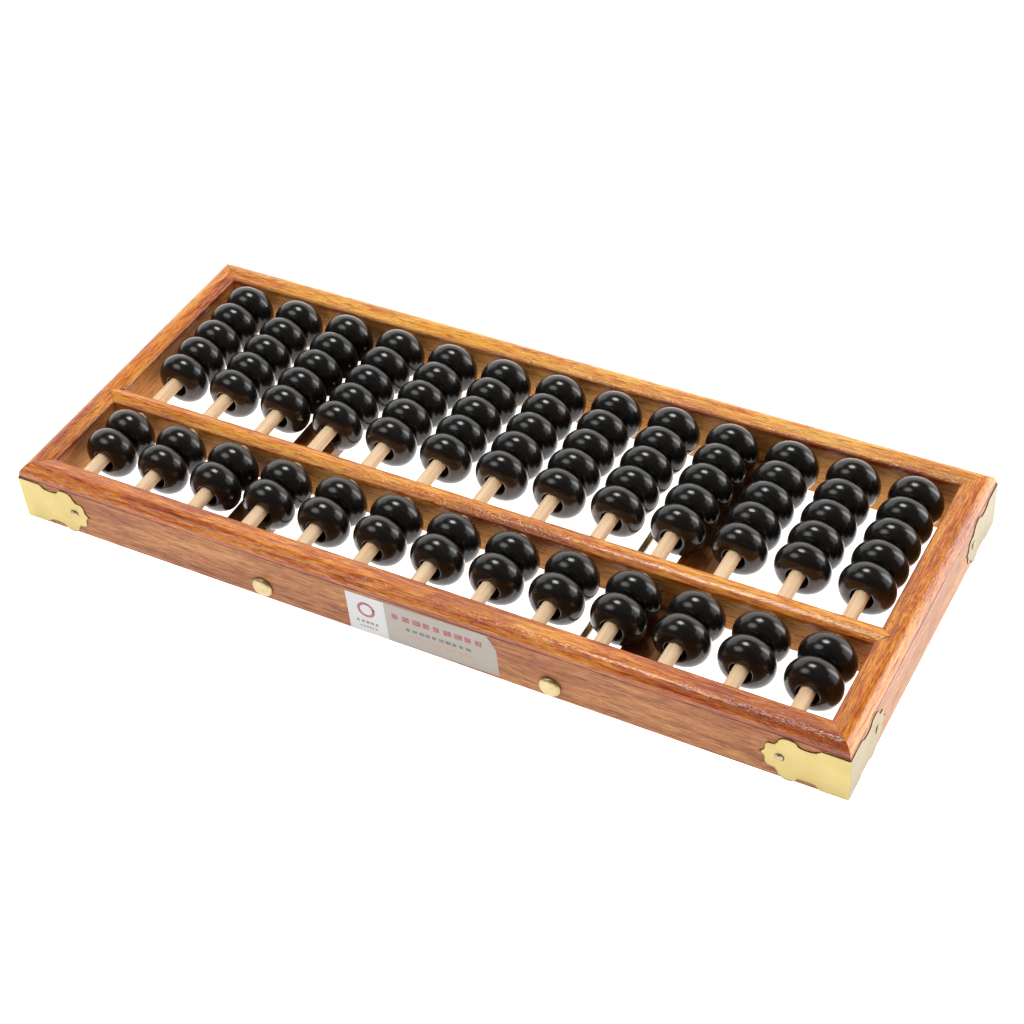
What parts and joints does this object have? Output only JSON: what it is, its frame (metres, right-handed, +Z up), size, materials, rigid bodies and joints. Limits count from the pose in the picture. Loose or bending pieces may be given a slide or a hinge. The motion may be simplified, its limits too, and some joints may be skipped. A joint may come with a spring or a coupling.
{
  "type": "abacus",
  "caption": "Abacus: mitred hardwood frame with brass corners, a divider beam and round black beads that slide on wooden rods.",
  "frame": {"origin": "centre of the footprint, on the surface the frame lies on", "axes": "+X along the row of columns, -Y towards the two-bead side with the label, +Z up"},
  "size_m": [0.3514, 0.1538, 0.0299],
  "materials": {
    "lacquered_wood": "reddish-brown gloss lacquer over straight-grained hardwood",
    "plain_wood": "brown stained, matte",
    "rod_wood": "pale, fine straight fibres, satin",
    "black_lacquer": "glossy black lacquer on turned wood",
    "sheet_brass": "thin satin brass sheet",
    "polished_brass": "polished brass",
    "steel_nail": "bright wire nail",
    "label_foil": "silver and white printed foil"
  },
  "bodies": {
    "frame": {"front_rail": "lacquered_wood", "back_rail": "lacquered_wood", "left_end_rail": "lacquered_wood", "right_end_rail": "lacquered_wood", "divider_beam": "lacquered_wood", "left_slat": "plain_wood", "right_slat": "plain_wood", "beam_nails": "steel_nail", "bead_rods": "rod_wood", "left_tie_rod": "polished_brass", "right_tie_rod": "polished_brass", "tie_rod_nuts": "polished_brass", "front_left_corner_plate": "sheet_brass", "front_right_corner_plate": "sheet_brass", "back_left_corner_plate": "sheet_brass", "back_right_corner_plate": "sheet_brass", "corner_nails": "polished_brass", "label_plate": "label_foil"},
    "column_01_upper_inner_bead": {"column_01_upper_inner_bead": "black_lacquer"},
    "column_01_upper_outer_bead": {"column_01_upper_outer_bead": "black_lacquer"},
    "column_01_lower_beads": {"column_01_lower_beads": "black_lacquer"},
    "column_02_upper_inner_bead": {"column_02_upper_inner_bead": "black_lacquer"},
    "column_02_upper_outer_bead": {"column_02_upper_outer_bead": "black_lacquer"},
    "column_02_lower_beads": {"column_02_lower_beads": "black_lacquer"},
    "column_03_upper_inner_bead": {"column_03_upper_inner_bead": "black_lacquer"},
    "column_03_upper_outer_bead": {"column_03_upper_outer_bead": "black_lacquer"},
    "column_03_lower_beads": {"column_03_lower_beads": "black_lacquer"},
    "column_04_upper_inner_bead": {"column_04_upper_inner_bead": "black_lacquer"},
    "column_04_upper_outer_bead": {"column_04_upper_outer_bead": "black_lacquer"},
    "column_04_lower_beads": {"column_04_lower_beads": "black_lacquer"},
    "column_05_upper_inner_bead": {"column_05_upper_inner_bead": "black_lacquer"},
    "column_05_upper_outer_bead": {"column_05_upper_outer_bead": "black_lacquer"},
    "column_05_lower_beads": {"column_05_lower_beads": "black_lacquer"},
    "column_06_upper_inner_bead": {"column_06_upper_inner_bead": "black_lacquer"},
    "column_06_upper_outer_bead": {"column_06_upper_outer_bead": "black_lacquer"},
    "column_06_lower_beads": {"column_06_lower_beads": "black_lacquer"},
    "column_07_upper_inner_bead": {"column_07_upper_inner_bead": "black_lacquer"},
    "column_07_upper_outer_bead": {"column_07_upper_outer_bead": "black_lacquer"},
    "column_07_lower_beads": {"column_07_lower_beads": "black_lacquer"},
    "column_08_upper_inner_bead": {"column_08_upper_inner_bead": "black_lacquer"},
    "column_08_upper_outer_bead": {"column_08_upper_outer_bead": "black_lacquer"},
    "column_08_lower_beads": {"column_08_lower_beads": "black_lacquer"},
    "column_09_upper_inner_bead": {"column_09_upper_inner_bead": "black_lacquer"},
    "column_09_upper_outer_bead": {"column_09_upper_outer_bead": "black_lacquer"},
    "column_09_lower_beads": {"column_09_lower_beads": "black_lacquer"},
    "column_10_upper_inner_bead": {"column_10_upper_inner_bead": "black_lacquer"},
    "column_10_upper_outer_bead": {"column_10_upper_outer_bead": "black_lacquer"},
    "column_10_lower_beads": {"column_10_lower_beads": "black_lacquer"},
    "column_11_upper_inner_bead": {"column_11_upper_inner_bead": "black_lacquer"},
    "column_11_upper_outer_bead": {"column_11_upper_outer_bead": "black_lacquer"},
    "column_11_lower_beads": {"column_11_lower_beads": "black_lacquer"},
    "column_12_upper_inner_bead": {"column_12_upper_inner_bead": "black_lacquer"},
    "column_12_upper_outer_bead": {"column_12_upper_outer_bead": "black_lacquer"},
    "column_12_lower_beads": {"column_12_lower_beads": "black_lacquer"},
    "column_13_upper_inner_bead": {"column_13_upper_inner_bead": "black_lacquer"},
    "column_13_upper_outer_bead": {"column_13_upper_outer_bead": "black_lacquer"},
    "column_13_lower_beads": {"column_13_lower_beads": "black_lacquer"}
  },
  "joints": [
    {"name": "column_01_upper_inner_slide", "type": "slide", "parent": "frame", "child": "column_01_upper_inner_bead", "axis": [0, -1, 0], "range_m": [-0.0025, 0.0112]},
    {"name": "column_01_upper_outer_slide", "type": "slide", "parent": "column_01_upper_inner_bead", "child": "column_01_upper_outer_bead", "axis": [0, 1, 0], "range_m": [-0.0112, 0]},
    {"name": "column_01_lower_slide", "type": "slide", "parent": "frame", "child": "column_01_lower_beads", "axis": [0, -1, 0], "range_m": [-0.0025, 0.0148]},
    {"name": "column_02_upper_inner_slide", "type": "slide", "parent": "frame", "child": "column_02_upper_inner_bead", "axis": [0, -1, 0], "range_m": [-0.0025, 0.0112]},
    {"name": "column_02_upper_outer_slide", "type": "slide", "parent": "column_02_upper_inner_bead", "child": "column_02_upper_outer_bead", "axis": [0, 1, 0], "range_m": [-0.0112, 0]},
    {"name": "column_02_lower_slide", "type": "slide", "parent": "frame", "child": "column_02_lower_beads", "axis": [0, -1, 0], "range_m": [-0.0025, 0.0148]},
    {"name": "column_03_upper_inner_slide", "type": "slide", "parent": "frame", "child": "column_03_upper_inner_bead", "axis": [0, -1, 0], "range_m": [-0.0025, 0.0112]},
    {"name": "column_03_upper_outer_slide", "type": "slide", "parent": "column_03_upper_inner_bead", "child": "column_03_upper_outer_bead", "axis": [0, 1, 0], "range_m": [-0.0112, 0]},
    {"name": "column_03_lower_slide", "type": "slide", "parent": "frame", "child": "column_03_lower_beads", "axis": [0, -1, 0], "range_m": [-0.0025, 0.0148]},
    {"name": "column_04_upper_inner_slide", "type": "slide", "parent": "frame", "child": "column_04_upper_inner_bead", "axis": [0, -1, 0], "range_m": [-0.0025, 0.0112]},
    {"name": "column_04_upper_outer_slide", "type": "slide", "parent": "column_04_upper_inner_bead", "child": "column_04_upper_outer_bead", "axis": [0, 1, 0], "range_m": [-0.0112, 0]},
    {"name": "column_04_lower_slide", "type": "slide", "parent": "frame", "child": "column_04_lower_beads", "axis": [0, -1, 0], "range_m": [-0.0025, 0.0148]},
    {"name": "column_05_upper_inner_slide", "type": "slide", "parent": "frame", "child": "column_05_upper_inner_bead", "axis": [0, -1, 0], "range_m": [-0.0025, 0.0112]},
    {"name": "column_05_upper_outer_slide", "type": "slide", "parent": "column_05_upper_inner_bead", "child": "column_05_upper_outer_bead", "axis": [0, 1, 0], "range_m": [-0.0112, 0]},
    {"name": "column_05_lower_slide", "type": "slide", "parent": "frame", "child": "column_05_lower_beads", "axis": [0, -1, 0], "range_m": [-0.0025, 0.0148]},
    {"name": "column_06_upper_inner_slide", "type": "slide", "parent": "frame", "child": "column_06_upper_inner_bead", "axis": [0, -1, 0], "range_m": [-0.0025, 0.0112]},
    {"name": "column_06_upper_outer_slide", "type": "slide", "parent": "column_06_upper_inner_bead", "child": "column_06_upper_outer_bead", "axis": [0, 1, 0], "range_m": [-0.0112, 0]},
    {"name": "column_06_lower_slide", "type": "slide", "parent": "frame", "child": "column_06_lower_beads", "axis": [0, -1, 0], "range_m": [-0.0025, 0.0148]},
    {"name": "column_07_upper_inner_slide", "type": "slide", "parent": "frame", "child": "column_07_upper_inner_bead", "axis": [0, -1, 0], "range_m": [-0.0025, 0.0112]},
    {"name": "column_07_upper_outer_slide", "type": "slide", "parent": "column_07_upper_inner_bead", "child": "column_07_upper_outer_bead", "axis": [0, 1, 0], "range_m": [-0.0112, 0]},
    {"name": "column_07_lower_slide", "type": "slide", "parent": "frame", "child": "column_07_lower_beads", "axis": [0, -1, 0], "range_m": [-0.0025, 0.0148]},
    {"name": "column_08_upper_inner_slide", "type": "slide", "parent": "frame", "child": "column_08_upper_inner_bead", "axis": [0, -1, 0], "range_m": [-0.0025, 0.0112]},
    {"name": "column_08_upper_outer_slide", "type": "slide", "parent": "column_08_upper_inner_bead", "child": "column_08_upper_outer_bead", "axis": [0, 1, 0], "range_m": [-0.0112, 0]},
    {"name": "column_08_lower_slide", "type": "slide", "parent": "frame", "child": "column_08_lower_beads", "axis": [0, -1, 0], "range_m": [-0.0025, 0.0148]},
    {"name": "column_09_upper_inner_slide", "type": "slide", "parent": "frame", "child": "column_09_upper_inner_bead", "axis": [0, -1, 0], "range_m": [-0.0025, 0.0112]},
    {"name": "column_09_upper_outer_slide", "type": "slide", "parent": "column_09_upper_inner_bead", "child": "column_09_upper_outer_bead", "axis": [0, 1, 0], "range_m": [-0.0112, 0]},
    {"name": "column_09_lower_slide", "type": "slide", "parent": "frame", "child": "column_09_lower_beads", "axis": [0, -1, 0], "range_m": [-0.0025, 0.0148]},
    {"name": "column_10_upper_inner_slide", "type": "slide", "parent": "frame", "child": "column_10_upper_inner_bead", "axis": [0, -1, 0], "range_m": [-0.0025, 0.0112]},
    {"name": "column_10_upper_outer_slide", "type": "slide", "parent": "column_10_upper_inner_bead", "child": "column_10_upper_outer_bead", "axis": [0, 1, 0], "range_m": [-0.0112, 0]},
    {"name": "column_10_lower_slide", "type": "slide", "parent": "frame", "child": "column_10_lower_beads", "axis": [0, -1, 0], "range_m": [-0.0025, 0.0148]},
    {"name": "column_11_upper_inner_slide", "type": "slide", "parent": "frame", "child": "column_11_upper_inner_bead", "axis": [0, -1, 0], "range_m": [-0.0025, 0.0112]},
    {"name": "column_11_upper_outer_slide", "type": "slide", "parent": "column_11_upper_inner_bead", "child": "column_11_upper_outer_bead", "axis": [0, 1, 0], "range_m": [-0.0112, 0]},
    {"name": "column_11_lower_slide", "type": "slide", "parent": "frame", "child": "column_11_lower_beads", "axis": [0, -1, 0], "range_m": [-0.0025, 0.0148]},
    {"name": "column_12_upper_inner_slide", "type": "slide", "parent": "frame", "child": "column_12_upper_inner_bead", "axis": [0, -1, 0], "range_m": [-0.0025, 0.0112]},
    {"name": "column_12_upper_outer_slide", "type": "slide", "parent": "column_12_upper_inner_bead", "child": "column_12_upper_outer_bead", "axis": [0, 1, 0], "range_m": [-0.0112, 0]},
    {"name": "column_12_lower_slide", "type": "slide", "parent": "frame", "child": "column_12_lower_beads", "axis": [0, -1, 0], "range_m": [-0.0025, 0.0148]},
    {"name": "column_13_upper_inner_slide", "type": "slide", "parent": "frame", "child": "column_13_upper_inner_bead", "axis": [0, -1, 0], "range_m": [-0.0025, 0.0112]},
    {"name": "column_13_upper_outer_slide", "type": "slide", "parent": "column_13_upper_inner_bead", "child": "column_13_upper_outer_bead", "axis": [0, 1, 0], "range_m": [-0.0112, 0]},
    {"name": "column_13_lower_slide", "type": "slide", "parent": "frame", "child": "column_13_lower_beads", "axis": [0, -1, 0], "range_m": [-0.0025, 0.0148]}
  ]
}
